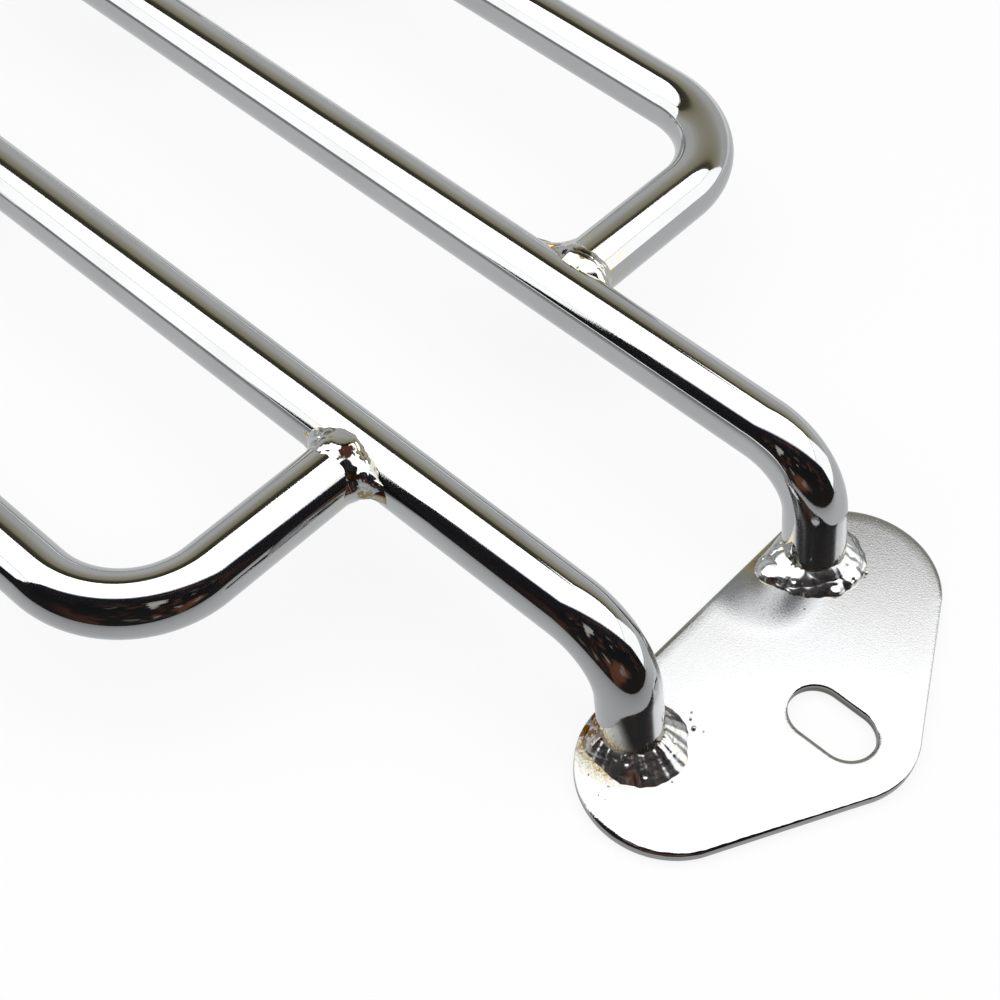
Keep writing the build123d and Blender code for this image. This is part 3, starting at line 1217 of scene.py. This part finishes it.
def add_stage(name, corners, material):
    """Floor or card: an object of the studio, not of the rack."""
    mesh = bpy.data.meshes.new(name)
    mesh.from_pydata([tuple(corner) for corner in corners], [], [(0, 1, 2, 3)])
    mesh.materials.append(material)
    made = bpy.data.objects.new(name, mesh)
    bpy.context.collection.objects.link(made)
    return made


def background_share(shader):
    """1 for the rays that show the background itself, 0 for those that only carry light."""
    path = shader.node("ShaderNodeLightPath")
    seen = shader.math("ADD", path.outputs["Is Camera Ray"], path.outputs["Is Glossy Ray"])
    return shader.math("MINIMUM", shader.math("ADD", seen, path.outputs["Is Transmission Ray"]), 1.0)


def add_world():
    """White surroundings to look at, and a little light from all round."""
    world = bpy.data.worlds.new("studio")
    world.use_nodes = True
    bpy.context.scene.world = world
    shader = Shader(world.node_tree)
    dim = shader.node("ShaderNodeBackground", Color=WHITE, Strength=AMBIENT)
    bright = shader.node("ShaderNodeBackground", Color=WHITE, Strength=1.0)
    shader.show(shader.mixed(background_share(shader), dim, bright), "ShaderNodeOutputWorld")


def add_floor():
    """Pale floor that glows white to the eye and keeps a soft shadow."""
    material, shader = new_shader("studio_floor")
    paper = shader.node("ShaderNodeBsdfDiffuse", Color=FLOOR_PAPER)
    glow = shader.node("ShaderNodeEmission", Color=WHITE, Strength=1.0)
    shader.show(shader.mixed(shader.times(background_share(shader), FLOOR_GLOW), paper, glow))
    half = FLOOR_SIZE / 2
    corners = [(-half, -half), (half, -half), (half, half), (-half, half)]
    add_stage("floor", [(x, y, FLOOR_LEVEL) for x, y in corners], material)


def add_softbox():
    """Wide soft light overhead."""
    width = 2 * SOFTBOX_HALF_WIDTH
    depth = SOFTBOX_FAR - SOFTBOX_NEAR
    light = bpy.data.lights.new("softbox", "AREA")
    light.shape = "RECTANGLE"
    light.size = width
    light.size_y = depth
    light.energy = SOFTBOX_RADIANCE * pi * width * depth
    lamp = bpy.data.objects.new("softbox", light)
    lamp.location = studio_point((SOFTBOX_FAR + SOFTBOX_NEAR) / 2, 0, SOFTBOX_HEIGHT)
    lamp.rotation_euler = (0, 0, CAMERA_AZIMUTH)
    lamp.visible_camera = False
    bpy.context.collection.objects.link(lamp)


def add_card(name, corners, material, shader, colour, strength):
    """Glowing card that only reflections see."""
    shader.show(shader.node("ShaderNodeEmission", Color=colour, Strength=strength))
    card = add_stage(name, corners, material)
    card.visible_camera = False
    card.visible_diffuse = False
    card.visible_shadow = False
    return card


def add_wall(name, start, end, height, strength, stops, stains=()):
    """Card that stands between two places of the floor, with a glow that changes upwards."""
    material, shader = new_shader(f"{name}_glow")
    ramp = shader.node("ShaderNodeValToRGB")
    shader.feed(ramp.inputs["Fac"], shader.remap(shader.part(shader.position, "Z"), 0.0, height))
    elements = ramp.color_ramp.elements
    while len(elements) < len(stops):
        elements.new(1.0)
    for element, (share, tint) in zip(elements, stops):
        element.position = share
        element.color = (*tint, 1.0)
    colour = shader.stained(ramp.outputs["Color"], stains)
    corners = [(*start, 0.0), (*end, 0.0), (*end, height), (*start, height)]
    corners = [studio_point(*corner) for corner in corners]
    add_card(name, corners, material, shader, colour, strength)


def add_floor_shade_card():
    """Painted shade of the floor near the rack: a grey card in front of the dark one that only
    reflections see, brighter further off.
    """
    material, shader = new_shader("floor_shade_card_glow")
    reach = shader.vectors("DOT_PRODUCT", shader.position, studio_point(1.0, 0.0, 0.0))
    strength = shader.remap(reach.outputs["Value"], *GREY_GLOW)
    corners = level_corners(GREY_NEAR, GREY_FAR, GREY_LEFT, DARK_RIGHT, GREY_LEVEL)
    add_card("floor_shade_card", corners, material, shader, COOL_WHITE, strength)


def add_flag():
    """Dark flag under the soft light's far left corner, which also holds back its light."""
    material, shader = new_shader("flag_glow")
    corners = level_corners(FLAG_NEAR, SOFTBOX_FAR, -WALL_SIDE, FLAG_RIGHT, SOFTBOX_HEIGHT - FLAG_GAP)
    flag = add_card("flag", corners, material, shader, FLAG_OLIVE, 1.0)
    flag.visible_shadow = True


def add_dark_tail():
    """Low tail of the dark card to the left, which slopes down to its end."""
    material, shader = new_shader("dark_tail_glow")
    end_height, start_height = DARK_TAIL_HEIGHTS
    places = [(DARK_TAIL, 0.0), (DARK_LEFT, 0.0), (DARK_LEFT, start_height), (DARK_TAIL, end_height)]
    corners = [studio_point(DARK_AWAY, right, height) for right, height in places]
    add_card("dark_tail", corners, material, shader, SOOT_BLACK, 1.0)


def add_cards():
    """What the chrome mirrors below the soft light."""
    far_left = (SOFTBOX_FAR, -WALL_SIDE)
    far_right = (SOFTBOX_FAR, WALL_SIDE)
    near_left = (SOFTBOX_NEAR, -WALL_SIDE)
    near_right = (SOFTBOX_NEAR, WALL_SIDE)
    dark_left = (DARK_AWAY, DARK_LEFT)
    dark_right = (DARK_AWAY, DARK_RIGHT)
    add_wall("far_card", far_left, far_right, SOFTBOX_HEIGHT, 1.0, FAR_GLOW)
    add_wall("left_card", far_left, near_left, SOFTBOX_HEIGHT, SOFTBOX_RADIANCE, SIDE_GLOW)
    add_wall("right_card", near_right, far_right, SOFTBOX_HEIGHT, SOFTBOX_RADIANCE, SIDE_GLOW)
    add_wall("dark_card", dark_left, dark_right, DARK_HEIGHT, SOFTBOX_RADIANCE, DARK_GLOW, DARK_STAINS)
    # Painted shade of the floor near the rack, seen only in reflections
    add_floor_shade_card()
    add_flag()
    add_dark_tail()


def add_camera():
    """Camera at the photograph's viewing angle."""
    back = studio_point(-cos(CAMERA_ELEVATION), 0, sin(CAMERA_ELEVATION))
    data = bpy.data.cameras.new("camera")
    data.sensor_width = SENSOR_WIDTH
    data.lens = CAMERA_LENS
    data.clip_start = CAMERA_CLIP
    camera = bpy.data.objects.new("camera", data)
    camera.location = CAMERA_TARGET + back * CAMERA_DISTANCE
    camera.rotation_mode = "QUATERNION"
    camera.rotation_quaternion = (-back).to_track_quat("-Z", "Y") @ Quaternion((0, 0, 1), CAMERA_ROLL)
    bpy.context.collection.objects.link(camera)
    bpy.context.scene.camera = camera


bpy.context.scene.view_settings.view_transform = "Standard"
CHROMED_BAR = chromed_bar()
PLATED_SHEET = plated_sheet()
WELD_BEAD = weld_bead()
for end_name, end_way in ENDS.items():
    add_plate(end_name, end_way)
for side_name, side_way in SIDES.items():
    add_rail(side_name, side_way)
    add_side_loop(side_name, side_way)
    add_loop_welds(side_name, side_way)
    add_leg_welds(side_name, side_way)
add_spatter()
add_world()
add_floor()
add_softbox()
add_cards()
add_camera()
